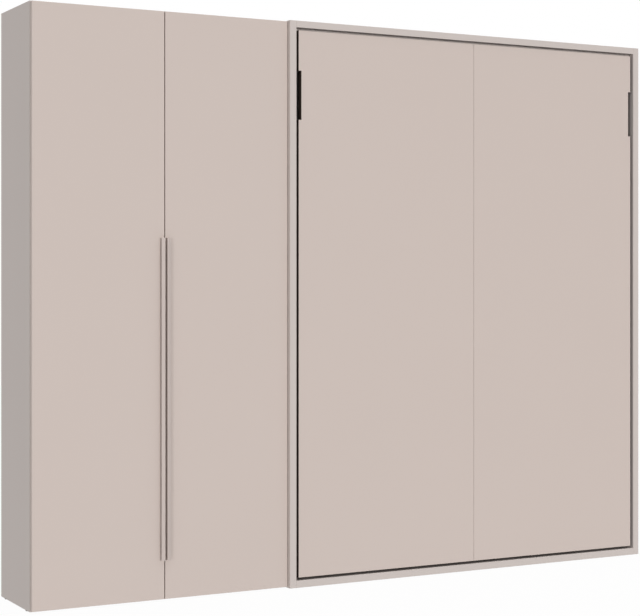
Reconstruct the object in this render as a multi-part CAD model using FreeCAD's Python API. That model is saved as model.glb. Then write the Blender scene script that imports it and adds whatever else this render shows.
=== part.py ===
import FreeCAD, Part
import math
import os

from FreeCAD import Vector

# A vertical wall bed in its cabinet, joined on its left to a two-door wardrobe.
# Millimetres. X to the right, Y to the wall, Z up. The origin is on the floor,
# in the middle of the width and of the depth.

# Overall sizes
overall_height = 2200.0
wardrobe_width = 1030.0
bed_cabinet_width = 1700.0
bed_cabinet_depth = 378.0
front_step = 18.0
glide_thickness = 3.0
glide_radius = 12.0
glide_inset = 45.0
rear_rail_thickness = 18.0
rear_rail_height = 100.0
back_panel_thickness = 8.0
wall_hole_radius = 4.5
bed_wall_hole_spacing = 1200.0
wardrobe_wall_hole_spacing = 600.0

# Bed cabinet boards and the gaps round the bed front
side_board = 28.0
top_board = 26.0
bottom_board = 28.0
panel_side_gap = 12.0
panel_end_gap = 10.0
panel_recess = 5.0
panel_thickness = 20.0
panel_joint = 1.0
edge_round = 1.0
notch_height = 190.0
notch_depth = 12.0
notch_below_panel_top = 157.0
joiner_width = 30.0
joiner_lip = 2.0
joiner_web = 2.0

# Stop rail under the cabinet top
stop_rail_height = 22.0
stop_rail_thickness = 18.0
stop_rail_behind_panel = 4.0
buffer_radius = 6.0
buffer_gap = 0.3
buffer_inset = 120.0

# Wardrobe
carcass_board = 19.0
door_thickness = 19.0
door_carcass_gap = 2.0
door_side_reveal = 2.0
door_top_reveal = 3.0
door_bottom_reveal = 4.0
door_joint = 3.5
shelf_thickness = 19.0
shelf_front_setback = 12.0
shelf_side_gap = 0.5
left_shelf_shares = (0.2, 0.4, 0.6, 0.8)
right_shelf_shares = (0.2, 0.8)
shelf_pin_radius = 2.5
shelf_pin_length = 9.0
shelf_pin_inset = 37.0

# Hanging rail, front to back under the upper shelf of the right bay
hanger_rail_height = 30.0
hanger_rail_width = 15.0
hanger_rail_wall = 1.5
hanger_rail_length = 250.0
hanger_drop = 45.0
hanger_bracket_thickness = 4.0
hanger_bracket_width = 24.0
hanger_bracket_bend = 1.5

# Door handles, a folded profile on each meeting edge
handle_length = 1200.0
handle_bottom = 153.0
handle_gap = 8.0
handle_lip = 14.5
handle_lip_drop = 5.7
handle_reach = 19.1
handle_wall = 2.0
handle_base = 14.0
handle_bend = 0.5

# Concealed door hinges
hinge_shares = (0.05, 0.35, 0.65, 0.95)
cup_radius = 17.5
cup_wall = 2.0
cup_depth = 11.5
cup_floor = 1.0
cup_clearance = 0.1
cup_from_edge = 22.5
cup_flange = 1.0
cup_flange_half_height = 26.0
cup_flange_end_radius = 7.0
cup_rim = 2.0
cup_block_width = 12.0
cup_block_height = 7.0
cup_block_length = 20.0
plate_thickness = 3.0
plate_wing_half_height = 27.0
plate_wing_depth = 12.0
plate_setback = 31.0
arm_half_width = 8.0
arm_rear_half_width = 6.0
arm_length = 62.0
arm_height = 10.0
arm_sheet = 1.5
door_buffer_radius = 5.0
door_buffer_inset = 40.0

# Bolts that join the two cabinets
join_bolt_radius = 3.0
join_bolt_head_radius = 7.5
join_bolt_head = 2.0
join_bolt_inset = 80.0
join_bolt_clearance = 0.1
join_bolt_shares = (0.05, 0.5, 0.95)

# Bed pivot, measured from the lower front edge of the bed front
pivot_above_panel_bottom = 260.0
pivot_behind_panel_front = 60.0
pivot_pin_radius = 10.0
pivot_pin_collar = 3.0
pivot_collar_radius = 14.0
bush_radius = 16.0
bush_length = 22.0
bush_clearance = 0.05
pivot_end_gap = 2.0
pivot_plate_thickness = 5.0
pivot_plate_boss = 34.0
pivot_plate_anchor_boss = 22.0
pivot_plate_tail_boss = 26.0
pivot_plate_tail_back = 35.0
pivot_plate_tail_down = 120.0

# Gas struts. Both pins lie at the same distance from the bed pivot.
strut_pin_margin = 30.0
strut_anchor_angle = 75.0
strut_span_angle = 158.0
bed_open_angle = 90.0
strut_pin_radius = 5.0
strut_collar_radius = 8.0
strut_pin_clearance = 0.1
strut_clip_thickness = 2.0
strut_eye_radius = 9.5
strut_eye_thickness = 10.0
strut_side_gap = 0.3
strut_plate_gap = 5.0
strut_arm_gap = 3.0
strut_tube_radius = 11.0
strut_tube_wall = 1.2
strut_tube_start = 15.0
strut_tube_end_gap = 7.0
strut_neck_radius = 4.5
strut_end_thickness = 5.0
strut_gland = 14.0
strut_rod_radius = 4.0
strut_rod_clearance = 0.06
strut_piston_gap = 0.4
strut_piston_thickness = 6.0

# Bed frame of rectangular steel tube
frame_tube_width = 30.0
frame_tube_depth = 40.0
frame_tube_wall = 2.0
frame_end_inset = 22.0
cross_tube_depth = 20.0
cross_tube_shares = (0.33, 0.67)
end_cap_thickness = 2.0
arm_plate_thickness = 6.0
arm_plate_up = 300.0
arm_plate_boss = 30.0
arm_plate_end_boss = 18.0

# Slats
slat_count = 13
slat_width = 53.0
slat_thickness = 8.0
slat_crown = 6.0
slat_sink = 4.0
slat_end_gap = 4.0
slat_zone_inset = 70.0
holder_length = 20.0
holder_wall = 3.0
holder_clearance = 0.7

# Mattress and what holds it
mattress_side_inset = 31.0
mattress_foot_inset = 18.0
mattress_thickness = 180.0
mattress_below_pivot = 175.0
mattress_round = 28.0
seat_gap = 0.3
end_board_thickness = 16.0
end_board_depth = 120.0
end_board_side_inset = 10.0
end_bracket_thickness = 5.0
end_bracket_width = 40.0
end_bracket_reach = 105.0
end_bracket_bend = 3.0
end_bracket_shares = (-0.8, 0.0, 0.8)
strap_width = 40.0
strap_thickness = 1.5
strap_tab = 24.0
strap_shares = (0.3, 0.72)
hoop_radius = 5.0
hoop_half_width = 320.0
hoop_reach = 120.0
hoop_bend = 30.0

# Legs, flat steel that hangs in the side gap and swings forward
leg_width = 40.0
leg_thickness = 5.0
leg_gap_to_panel = 2.0
leg_floor_gap = 0.5
leg_hole_clearance = 0.1
leg_shoe_height = 30.0
leg_shoe_wall = 0.8
leg_shoe_bottom = 3.0
leg_bolt_radius = 5.0
leg_bolt_head_radius = 11.0
leg_bolt_head = 2.0
leg_spacer_radius = 12.0
leg_bracket_thickness = 5.0
leg_bracket_half_height = 34.0
leg_side_gap = 0.3

# Angles that hold the bed front to the frame
angle_leg = 22.0
angle_thickness = 2.0
angle_bend = 1.0
angle_width = 40.0
angle_shares = (0.12, 0.37, 0.63, 0.88)

overrun = 2.0
same_place = 0.002

# Places worked out from the sizes
total_width = wardrobe_width + bed_cabinet_width
left_x = -total_width / 2
right_x = total_width / 2
seam_x = left_x + wardrobe_width
bed_x = (seam_x + right_x) / 2
front_y = -bed_cabinet_depth / 2
back_y = bed_cabinet_depth / 2
rear_rail_front_y = back_y - rear_rail_thickness
back_inner_y = rear_rail_front_y - back_panel_thickness
bed_inner_half = bed_cabinet_width / 2 - side_board
bed_floor_z = glide_thickness + bottom_board
bed_ceiling_z = overall_height - top_board

panel_half = bed_inner_half - panel_side_gap
panel_front_y = front_y + panel_recess
panel_back_y = panel_front_y + panel_thickness
panel_bottom_z = bed_floor_z + panel_end_gap
panel_top_z = bed_ceiling_z - panel_end_gap
pivot_y = panel_front_y + pivot_behind_panel_front
pivot_z = panel_bottom_z + pivot_above_panel_bottom
strut_pin_distance = pivot_above_panel_bottom - strut_pin_margin

door_front_y = front_y + front_step
door_back_y = door_front_y + door_thickness
carcass_front_y = door_back_y + door_carcass_gap
door_bottom_z = glide_thickness + door_bottom_reveal
door_top_z = overall_height - door_top_reveal
door_joint_x = (left_x + seam_x) / 2
bay_floor_z = glide_thickness + carcass_board
bay_ceiling_z = overall_height - carcass_board

# The gap beside the frame takes a pivot plate, a strut and an arm, each clear of the next.
strut_offset = bed_inner_half - pivot_plate_thickness - strut_plate_gap - strut_tube_radius
frame_half_width = strut_offset - strut_tube_radius - strut_arm_gap - arm_plate_thickness
frame_front_y = panel_back_y
frame_back_y = frame_front_y + frame_tube_depth
frame_bottom_z = panel_bottom_z + frame_end_inset
frame_top_z = panel_top_z - frame_end_inset
frame_inner_half = frame_half_width - frame_tube_width

slat_back_y = frame_back_y - slat_sink
mattress_front_y = slat_back_y + slat_crown + seat_gap
mattress_back_y = mattress_front_y + mattress_thickness
mattress_bottom_z = pivot_z - mattress_below_pivot
mattress_top_z = frame_top_z - mattress_foot_inset
mattress_half = frame_half_width - mattress_side_inset
leg_length = pivot_z - leg_floor_gap
leg_pivot_z = mattress_top_z
leg_inner = panel_half + leg_gap_to_panel


def block(x0, x1, y0, y1, z0, z1):
    """A box between two corners, given in any order."""
    low = Vector(min(x0, x1), min(y0, y1), min(z0, z1))
    return Part.makeBox(abs(x1 - x0), abs(y1 - y0), abs(z1 - z0), low)


def rod_x(x0, x1, y, z, radius):
    """A round bar along X."""
    return Part.makeCylinder(radius, abs(x1 - x0), Vector(min(x0, x1), y, z), Vector(1, 0, 0))


def rod_y(x, y0, y1, z, radius):
    """A round bar along Y."""
    return Part.makeCylinder(radius, abs(y1 - y0), Vector(x, min(y0, y1), z), Vector(0, 1, 0))


def rod_z(x, y, z0, z1, radius):
    """A round bar along Z."""
    return Part.makeCylinder(radius, abs(z1 - z0), Vector(x, y, min(z0, z1)), Vector(0, 0, 1))


def fuse(solids):
    """One solid out of several that overlap or touch."""
    whole = solids[0].fuse(solids[1:]) if len(solids) > 1 else solids[0]
    return whole.removeSplitter()


def save(name, solids):
    """Write one sub-part, a solid or a group of like solids."""
    shape = solids[0] if len(solids) == 1 else Part.makeCompound(solids)
    shape.exportStep(os.path.join("parts", name + ".step"))


def bed_side(side, offset):
    """The X of a plane that lies at an offset from the middle of the bed, left or right."""
    return bed_x + side * offset


def round_edges(shape, radius, wanted):
    """Round the edges whose middle the test picks."""
    edges = [e for e in shape.Edges if wanted(e)]
    return shape.makeFillet(radius, edges)


def lies_at_y(y):
    """A test for the edges that lie wholly in a plane across Y."""

    def wanted(edge):
        return all(abs(v.Point.y - y) < same_place for v in edge.Vertexes)

    return wanted


def wrapped_plate(place, run, start, start_radius, end, end_radius):
    """A plate whose outline wraps two circles, drawn in the plane that the place spans."""
    span = math.hypot(end[0] - start[0], end[1] - start[1])
    ahead = ((end[0] - start[0]) / span, (end[1] - start[1]) / span)
    across = (-ahead[1], ahead[0])
    lean = (start_radius - end_radius) / span
    spread = math.sqrt(1 - lean * lean)

    def point(centre, radius, along, aside):
        return place(centre[0] + radius * (along * ahead[0] + aside * across[0]),
                     centre[1] + radius * (along * ahead[1] + aside * across[1]))

    a = point(start, start_radius, lean, spread)
    b = point(end, end_radius, lean, spread)
    c = point(end, end_radius, lean, -spread)
    d = point(start, start_radius, lean, -spread)
    edges = [
        Part.makeLine(a, b),
        Part.Arc(b, point(end, end_radius, 1, 0), c).toShape(),
        Part.makeLine(c, d),
        Part.Arc(d, point(start, start_radius, -1, 0), a).toShape(),
    ]
    return Part.Face(Part.Wire(edges)).extrude(run)


def tapered_link(x0, x1, start, start_radius, end, end_radius):
    """A plate between two planes across X, whose outline wraps two circles in the YZ plane."""
    return wrapped_plate(lambda y, z: Vector(x0, y, z), Vector(x1 - x0, 0, 0), start,
                         start_radius, end, end_radius)


def folded_sheet(outside, wall, bend, run):
    """Sheet metal folded the same way at each corner; the points lie on its outer face."""
    ahead = [(b - a).normalize() for a, b in zip(outside, outside[1:])]
    across = ahead[0].cross(ahead[1]).normalize()
    inward = [across.cross(direction) for direction in ahead]
    outer_from = outside[0]
    inner_from = outside[0] + inward[0] * wall
    outer_edges = []
    inner_edges = []
    for n, corner in enumerate(outside[1:-1]):
        reach = (bend + wall) * math.tan(ahead[n].getAngle(ahead[n + 1]) / 2)
        a = corner - ahead[n] * reach
        b = corner + ahead[n + 1] * reach
        centre = a + inward[n] * (bend + wall)
        towards = (corner - centre).normalize()
        inner_a = a + inward[n] * wall
        inner_b = b + inward[n + 1] * wall
        outer_edges.append(Part.makeLine(outer_from, a))
        outer_edges.append(Part.Arc(a, centre + towards * (bend + wall), b).toShape())
        inner_edges.append(Part.makeLine(inner_from, inner_a))
        inner_edges.append(Part.Arc(inner_a, centre + towards * bend, inner_b).toShape())
        outer_from = b
        inner_from = inner_b
    end = outside[-1]
    inner_end = end + inward[-1] * wall
    outer_edges.append(Part.makeLine(outer_from, end))
    inner_edges.append(Part.makeLine(inner_from, inner_end))
    edges = outer_edges + [Part.makeLine(end, inner_end)] + inner_edges[::-1]
    edges.append(Part.makeLine(outside[0] + inward[0] * wall, outside[0]))
    return Part.Face(Part.Wire(edges)).extrude(run)


def tube_along_z(x0, x1, y0, y1, z0, z1, wall):
    """Rectangular tube, open at both ends."""
    x0, x1 = min(x0, x1), max(x0, x1)
    bore = block(x0 + wall, x1 - wall, y0 + wall, y1 - wall, z0 - overrun, z1 + overrun)
    return block(x0, x1, y0, y1, z0, z1).cut(bore)


def tube_along_x(x0, x1, y0, y1, z0, z1, wall):
    """Rectangular tube, open at both ends."""
    x0, x1 = min(x0, x1), max(x0, x1)
    bore = block(x0 - overrun, x1 + overrun, y0 + wall, y1 - wall, z0 + wall, z1 - wall)
    return block(x0, x1, y0, y1, z0, z1).cut(bore)


def share_of(low, high, share):
    """A place between two others."""
    return low + (high - low) * share


def join_bolt_places():
    """Heights of the bolts through the two cabinet sides that meet."""
    return [share_of(bay_floor_z, bay_ceiling_z, share) for share in join_bolt_shares]


def bed_cabinet_sides():
    """Full-height boards whose front edges frame the bed front."""
    for name, side in (("bed_cabinet_left_side", -1), ("bed_cabinet_right_side", 1)):
        inner = bed_side(side, bed_inner_half)
        outer = bed_side(side, bed_inner_half + side_board)
        board = block(inner, outer, front_y, back_y, glide_thickness, overall_height)
        board = round_edges(board, edge_round, lies_at_y(front_y))
        if side < 0:
            for z in join_bolt_places():
                hole = rod_x(inner - overrun * side, outer + overrun * side,
                             carcass_front_y + join_bolt_inset, z,
                             join_bolt_radius + join_bolt_clearance)
                board = board.cut(hole)
        save(name, [board])


def bed_cabinet_ends():
    """Top and bottom boards between the sides."""
    x0 = bed_side(-1, bed_inner_half)
    x1 = bed_side(1, bed_inner_half)
    top = block(x0, x1, front_y, back_y, bed_ceiling_z, overall_height)
    bottom = block(x0, x1, front_y, back_y, glide_thickness, bed_floor_z)
    save("bed_cabinet_top", [round_edges(top, edge_round, lies_at_y(front_y))])
    save("bed_cabinet_bottom", [round_edges(bottom, edge_round, lies_at_y(front_y))])


def bed_cabinet_back():
    """Two back panels, held in the middle by an H profile."""
    panels = []
    for side in (-1, 1):
        panels.append(block(bed_side(side, joiner_web / 2), bed_side(side, bed_inner_half),
                            back_inner_y, rear_rail_front_y, bed_floor_z, bed_ceiling_z))
    save("bed_cabinet_back_panels", panels)

    half = joiner_width / 2
    joiner_top_z = bed_ceiling_z - rear_rail_height
    joiner_bottom_z = bed_floor_z + rear_rail_height
    inner_lip = block(bed_x - half, bed_x + half, back_inner_y - joiner_lip, back_inner_y,
                      joiner_bottom_z, joiner_top_z)
    web = block(bed_x - joiner_web / 2, bed_x + joiner_web / 2, back_inner_y,
                rear_rail_front_y, joiner_bottom_z, joiner_top_z)
    outer_lip = block(bed_x - half, bed_x + half, rear_rail_front_y,
                      rear_rail_front_y + joiner_lip, joiner_bottom_z, joiner_top_z)
    save("back_panel_joiner", [fuse([inner_lip, web, outer_lip])])


def wall_rail(x0, x1, low, hole_spacing):
    """A rail behind a back panel, with two holes for the wall screws."""
    rail = block(x0, x1, rear_rail_front_y, back_y, low, low + rear_rail_height)
    for side in (-1, 1):
        rail = rail.cut(rod_y((x0 + x1) / 2 + side * hole_spacing / 2,
                              rear_rail_front_y - overrun, back_y + overrun,
                              low + rear_rail_height / 2, wall_hole_radius))
    return rail


def wall_rails():
    """Two rails in the bed cabinet and one in the wardrobe."""
    x0 = bed_side(-1, bed_inner_half)
    x1 = bed_side(1, bed_inner_half)
    save("wall_rails", [
        wall_rail(x0, x1, bed_ceiling_z - rear_rail_height, bed_wall_hole_spacing),
        wall_rail(x0, x1, bed_floor_z, bed_wall_hole_spacing),
        wall_rail(left_x + carcass_board, seam_x - carcass_board,
                  bay_ceiling_z - rear_rail_height, wardrobe_wall_hole_spacing),
    ])


def stop_rail():
    """The rail under the top that the closed bed front rests against; gives its buffers."""
    rail_front_y = panel_back_y + stop_rail_behind_panel
    rail = block(bed_side(-1, bed_inner_half), bed_side(1, bed_inner_half), rail_front_y,
                 rail_front_y + stop_rail_thickness, bed_ceiling_z - stop_rail_height,
                 bed_ceiling_z)
    save("top_stop_rail", [rail])
    buffer_z = (bed_ceiling_z - stop_rail_height + panel_top_z) / 2
    radius = min(buffer_radius, (panel_top_z - bed_ceiling_z + stop_rail_height) / 2)
    buffers = []
    for side in (-1, 1):
        for offset in (buffer_inset, panel_half - buffer_inset):
            buffers.append(rod_y(bed_side(side, offset), panel_back_y + buffer_gap,
                                 rail_front_y, buffer_z, radius))
    return buffers


def glides():
    """Low discs that both cabinets stand on."""
    places = [left_x + carcass_board / 2, door_joint_x, seam_x - carcass_board / 2,
              seam_x + side_board / 2, bed_x, right_x - side_board / 2]
    radius = min(glide_radius, carcass_board / 2)
    discs = []
    for x in places:
        for y in (carcass_front_y + glide_inset, back_y - glide_inset):
            discs.append(rod_z(x, y, 0, glide_thickness, radius))
    save("floor_glides", discs)


def wardrobe_carcass():
    """Sides, top, bottom, divider and back."""
    inner_left = left_x + carcass_board
    inner_right = seam_x - carcass_board
    left = block(left_x, inner_left, carcass_front_y, back_y, glide_thickness, overall_height)
    right = block(inner_right, seam_x, carcass_front_y, back_y, glide_thickness, overall_height)
    for z in join_bolt_places():
        right = right.cut(rod_x(inner_right - overrun, seam_x + overrun,
                                carcass_front_y + join_bolt_inset, z,
                                join_bolt_radius + join_bolt_clearance))
    save("wardrobe_left_side", [left])
    save("wardrobe_right_side", [right])
    save("wardrobe_top", [block(inner_left, inner_right, carcass_front_y, back_y,
                                bay_ceiling_z, overall_height)])
    save("wardrobe_bottom", [block(inner_left, inner_right, carcass_front_y, back_y,
                                   glide_thickness, bay_floor_z)])
    save("wardrobe_back", [block(inner_left, inner_right, back_inner_y, rear_rail_front_y,
                                 bay_floor_z, bay_ceiling_z)])
    half = carcass_board / 2
    save("wardrobe_divider", [block(door_joint_x - half, door_joint_x + half,
                                    carcass_front_y + shelf_front_setback, back_inner_y,
                                    bay_floor_z, bay_ceiling_z)])


def shelf_pin(wall_x, into, y, top_z):
    """A peg that reaches out of an upright and carries a shelf on its upper side."""
    return rod_x(wall_x, wall_x + into * shelf_pin_length, y, top_z - shelf_pin_radius,
                 shelf_pin_radius)


def wardrobe_shelves():
    """Shelves in both bays, and the pegs under them."""
    half = carcass_board / 2
    bays = ((left_x + carcass_board, door_joint_x - half, left_shelf_shares),
            (door_joint_x + half, seam_x - carcass_board, right_shelf_shares))
    shelf_front_y = carcass_front_y + shelf_front_setback
    shelves = []
    pins = []
    for x0, x1, shares in bays:
        for share in shares:
            z = share_of(bay_floor_z, bay_ceiling_z, share)
            shelves.append(block(x0 + shelf_side_gap, x1 - shelf_side_gap, shelf_front_y,
                                 back_inner_y - shelf_side_gap, z, z + shelf_thickness))
            for y in (shelf_front_y + shelf_pin_inset, back_inner_y - shelf_pin_inset):
                pins.append(shelf_pin(x0, 1, y, z))
                pins.append(shelf_pin(x1, -1, y, z))
    save("wardrobe_shelves", shelves)
    save("shelf_pins", pins)


def hanging_rail():
    """An oval rail that hangs under the upper shelf, with a bracket at each end."""
    shelf_z = share_of(bay_floor_z, bay_ceiling_z, right_shelf_shares[-1])
    x = (door_joint_x + seam_x) / 2
    middle_y = (carcass_front_y + back_inner_y) / 2
    y0 = middle_y - hanger_rail_length / 2
    y1 = middle_y + hanger_rail_length / 2
    rail_top_z = shelf_z - hanger_drop
    low = rail_top_z - hanger_rail_height
    half = hanger_rail_width / 2

    def oval(inset, start_y, end_y):
        radius = half - inset
        upper = rail_top_z - half
        lower = low + half
        a = Vector(x - radius, start_y, lower)
        b = Vector(x - radius, start_y, upper)
        c = Vector(x + radius, start_y, upper)
        d = Vector(x + radius, start_y, lower)
        edges = [
            Part.makeLine(a, b),
            Part.Arc(b, Vector(x, start_y, upper + radius), c).toShape(),
            Part.makeLine(c, d),
            Part.Arc(d, Vector(x, start_y, lower - radius), a).toShape(),
        ]
        return Part.Face(Part.Wire(edges)).extrude(Vector(0, end_y - start_y, 0))

    rail = oval(0, y0, y1).cut(oval(hanger_rail_wall, y0 - overrun, y1 + overrun))
    save("hanging_rail", [rail])
    brackets = []
    for end_y, outward in ((y0, -1), (y1, 1)):
        edge_x = x - hanger_bracket_width / 2
        far_y = end_y + outward * hanger_bracket_thickness
        outside = [Vector(edge_x, far_y, low - hanger_bracket_thickness),
                   Vector(edge_x, far_y, shelf_z),
                   Vector(edge_x, end_y - outward * hanger_bracket_width, shelf_z)]
        brackets.append(folded_sheet(outside, hanger_bracket_thickness, hanger_bracket_bend,
                                     Vector(hanger_bracket_width, 0, 0)))
    save("hanging_rail_brackets", brackets)


def hinge_heights():
    """Heights of the hinges on each door."""
    return [share_of(door_bottom_z, door_top_z, share) for share in hinge_shares]


def door_edges(side):
    """The outer and the meeting edge of a door, left or right."""
    if side < 0:
        return left_x + door_side_reveal, door_joint_x - door_joint / 2
    return seam_x - door_side_reveal, door_joint_x + door_joint / 2


def wardrobe_doors():
    """Overlay doors with the round pockets of their hinge cups."""
    for name, side in (("left_door_panel", -1), ("right_door_panel", 1)):
        outer, meeting = door_edges(side)
        door = block(outer, meeting, door_front_y, door_back_y, door_bottom_z, door_top_z)
        door = round_edges(door, edge_round, lies_at_y(door_front_y))
        for z in hinge_heights():
            door = door.cut(rod_y(outer - side * cup_from_edge, door_back_y - cup_depth,
                                  door_back_y + overrun, z, cup_radius + cup_clearance))
        save(name, [door])


def hinge_cups():
    """The pressed cup of each hinge, with its flange on the back of the door."""
    for name, side in (("left_hinge_cups", -1), ("right_hinge_cups", 1)):
        outer, _ = door_edges(side)
        x = outer - side * cup_from_edge
        cups = []
        for z in hinge_heights():
            flange_y = door_back_y + cup_flange
            body = rod_y(x, door_back_y - cup_depth, flange_y, z, cup_radius)
            ears = []
            for up in (-1, 1):
                ears.append(wrapped_plate(lambda a, b: Vector(a, door_back_y, b),
                                          Vector(0, cup_flange, 0), (x, z),
                                          cup_radius + cup_rim,
                                          (x, z + up * cup_flange_half_height),
                                          cup_flange_end_radius))
            hollow = rod_y(x, door_back_y - cup_depth + cup_floor, flange_y + overrun, z,
                           cup_radius - cup_wall)
            inside = block(x - cup_block_width / 2, x + cup_block_width / 2,
                           door_back_y - cup_depth, door_back_y - cup_depth + cup_block_height,
                           z - cup_block_length / 2, z + cup_block_length / 2)
            cup = fuse([body] + ears).cut(hollow)
            cups.append(fuse([cup, inside]))
        save(name, cups)


def hinge_arms():
    """The mounting plate and the channel-shaped arm of each hinge, on the carcass side."""
    front_y = carcass_front_y + arm_half_width
    rear_y = carcass_front_y + arm_length - arm_rear_half_width
    wing_radius = plate_wing_depth / 2
    wing_y = carcass_front_y + plate_setback + wing_radius
    wing_reach = plate_wing_half_height - wing_radius

    def arm_outline(x0, x1, z, inset, start_y):
        """Square at the front, tapered and round at the rear."""
        half = arm_half_width - inset
        body = tapered_link(x0, x1, (front_y, z), half, (rear_y, z), arm_rear_half_width - inset)
        return fuse([body, block(x0, x1, start_y, front_y, z - half, z + half)])

    arms = []
    for side in (-1, 1):
        wall = left_x + carcass_board if side < 0 else seam_x - carcass_board
        into = -side
        plate_x = wall + into * plate_thickness
        top_x = plate_x + into * arm_height
        for z in hinge_heights():
            wing = tapered_link(wall, plate_x, (wing_y, z - wing_reach), wing_radius,
                                (wing_y, z + wing_reach), wing_radius)
            spine = arm_outline(wall, plate_x, z, 0, carcass_front_y)
            arm = arm_outline(plate_x, top_x, z, 0, carcass_front_y)
            hollow = arm_outline(plate_x - into * overrun, top_x - into * arm_sheet, z,
                                 arm_sheet, carcass_front_y - overrun)
            arms.append(fuse([wing, spine, arm.cut(hollow)]))
    save("hinge_arms", arms)


def door_buffers():
    """Soft dots on the carcass edge that the doors close on."""
    dots = []
    radius = min(door_buffer_radius, carcass_board / 2)
    for side in (-1, 1):
        x = door_joint_x + side * door_buffer_inset
        for z in (bay_floor_z - carcass_board / 2, bay_ceiling_z + carcass_board / 2):
            dots.append(rod_y(x, door_back_y + buffer_gap, carcass_front_y, z, radius))
    return dots


def door_handles():
    """Folded profiles along the meeting edges; each lip slants back to its open outer side."""
    for name, side in (("left_door_handle", -1), ("right_door_handle", 1)):
        near = door_joint_x + side * handle_gap / 2
        far = near + side * handle_lip
        front = door_front_y - handle_reach
        outside = [Vector(near + side * handle_base, door_front_y, handle_bottom),
                   Vector(near, door_front_y, handle_bottom),
                   Vector(near, front, handle_bottom),
                   Vector(far, front + handle_lip_drop, handle_bottom)]
        save(name, [folded_sheet(outside, handle_wall, handle_bend,
                                 Vector(0, 0, handle_length))])


def joining_bolts():
    """Sleeve bolts through the two sides that stand against each other."""
    x0 = seam_x - carcass_board
    x1 = seam_x + side_board
    bolts = []
    for z in join_bolt_places():
        y = carcass_front_y + join_bolt_inset
        bolts.append(fuse([rod_x(x0, x1, y, z, join_bolt_radius),
                           rod_x(x0 - join_bolt_head, x0, y, z, join_bolt_head_radius),
                           rod_x(x1, x1 + join_bolt_head, y, z, join_bolt_head_radius)]))
    save("cabinet_joining_bolts", bolts)


def about_pivot(distance, angle):
    """Y and Z of a place at a distance from the bed pivot, the angle counted up from the wall."""
    return (pivot_y + distance * math.cos(math.radians(angle)),
            pivot_z + distance * math.sin(math.radians(angle)))


strut_anchor = about_pivot(strut_pin_distance, strut_anchor_angle)
strut_crank = about_pivot(strut_pin_distance, strut_anchor_angle - strut_span_angle)
strut_long = 2 * strut_pin_distance * math.sin(math.radians(strut_span_angle / 2))
strut_short = 2 * strut_pin_distance * math.sin(
    math.radians((strut_span_angle - bed_open_angle) / 2))


def pivot_plates():
    """Steel plates on the cabinet sides that carry the pivot bushes and the strut anchors."""
    plates = []
    bushes = []
    anchors = []
    tail = (pivot_y + pivot_plate_tail_back, pivot_z - pivot_plate_tail_down)
    for side in (-1, 1):
        outer = bed_side(side, bed_inner_half)
        inner = bed_side(side, bed_inner_half - pivot_plate_thickness)
        upper = tapered_link(inner, outer, (pivot_y, pivot_z), pivot_plate_boss, strut_anchor,
                             pivot_plate_anchor_boss)
        lower = tapered_link(inner, outer, (pivot_y, pivot_z), pivot_plate_boss, tail,
                             pivot_plate_tail_boss)
        seat = rod_x(inner - side * overrun, outer + side * overrun, pivot_y, pivot_z,
                     bush_radius + bush_clearance)
        plates.append(fuse([upper, lower]).cut(seat))

        mouth = bed_side(side, bed_inner_half - bush_length)
        bush = rod_x(mouth, outer, pivot_y, pivot_z, bush_radius)
        bore = rod_x(mouth - side * overrun, outer + side * overrun, pivot_y, pivot_z,
                     pivot_pin_radius + bush_clearance)
        bushes.append(bush.cut(bore))

        eye_outer = strut_offset + strut_eye_thickness / 2 + strut_side_gap
        eye_inner = strut_offset - strut_eye_thickness / 2 - strut_side_gap
        y, z = strut_anchor
        pin = rod_x(inner, bed_side(side, eye_inner - strut_clip_thickness), y, z,
                    strut_pin_radius)
        collar = rod_x(inner, bed_side(side, eye_outer), y, z, strut_collar_radius)
        clip = rod_x(bed_side(side, eye_inner), bed_side(side, eye_inner - strut_clip_thickness),
                     y, z, strut_collar_radius)
        anchors.append(fuse([pin, collar, clip]))
    save("bed_pivot_plates", plates)
    save("bed_pivot_bushes", bushes)
    save("strut_anchor_pins", anchors)


def bed_arms():
    """Plates on the bed frame that carry the pivot pins and reach down to the strut pins."""
    pins = []
    lower_pins = []
    tube_middle_y = (frame_front_y + frame_back_y) / 2
    arms = []
    for side in (-1, 1):
        inner = bed_side(side, frame_half_width)
        outer = bed_side(side, frame_half_width + arm_plate_thickness)
        pivot = (pivot_y, pivot_z)
        top = (tube_middle_y, pivot_z + arm_plate_up)
        up = tapered_link(inner, outer, pivot, arm_plate_boss, top, arm_plate_end_boss)
        down = tapered_link(inner, outer, pivot, arm_plate_boss, strut_crank,
                            arm_plate_end_boss)
        low = (tube_middle_y, frame_bottom_z + arm_plate_end_boss)
        brace = tapered_link(inner, outer, pivot, arm_plate_boss, low, arm_plate_end_boss)
        arms.append(fuse([up, down, brace]))

        end = bed_side(side, bed_inner_half - pivot_end_gap)
        collar_end = bed_side(side, frame_half_width + arm_plate_thickness + pivot_pin_collar)
        pins.append(fuse([rod_x(outer, end, pivot_y, pivot_z, pivot_pin_radius),
                          rod_x(outer, collar_end, pivot_y, pivot_z, pivot_collar_radius)]))

        eye_outer = strut_offset + strut_eye_thickness / 2 + strut_side_gap
        eye_inner = strut_offset - strut_eye_thickness / 2 - strut_side_gap
        y, z = strut_crank
        clip_x = bed_side(side, eye_outer)
        clip_end = bed_side(side, eye_outer + strut_clip_thickness)
        lower_pins.append(fuse([rod_x(outer, clip_end, y, z, strut_pin_radius),
                                rod_x(outer, bed_side(side, eye_inner), y, z,
                                      strut_collar_radius),
                                rod_x(clip_x, clip_end, y, z, strut_collar_radius)]))
    save("bed_arms", arms)
    save("bed_pivot_pins", pins)
    save("strut_lower_pins", lower_pins)


def along_strut(side, distance):
    """A place on the line from the anchor pin to the crank pin, with the bed closed."""
    share = distance / strut_long
    return Vector(bed_side(side, strut_offset),
                  share_of(strut_anchor[0], strut_crank[0], share),
                  share_of(strut_anchor[1], strut_crank[1], share))


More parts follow.
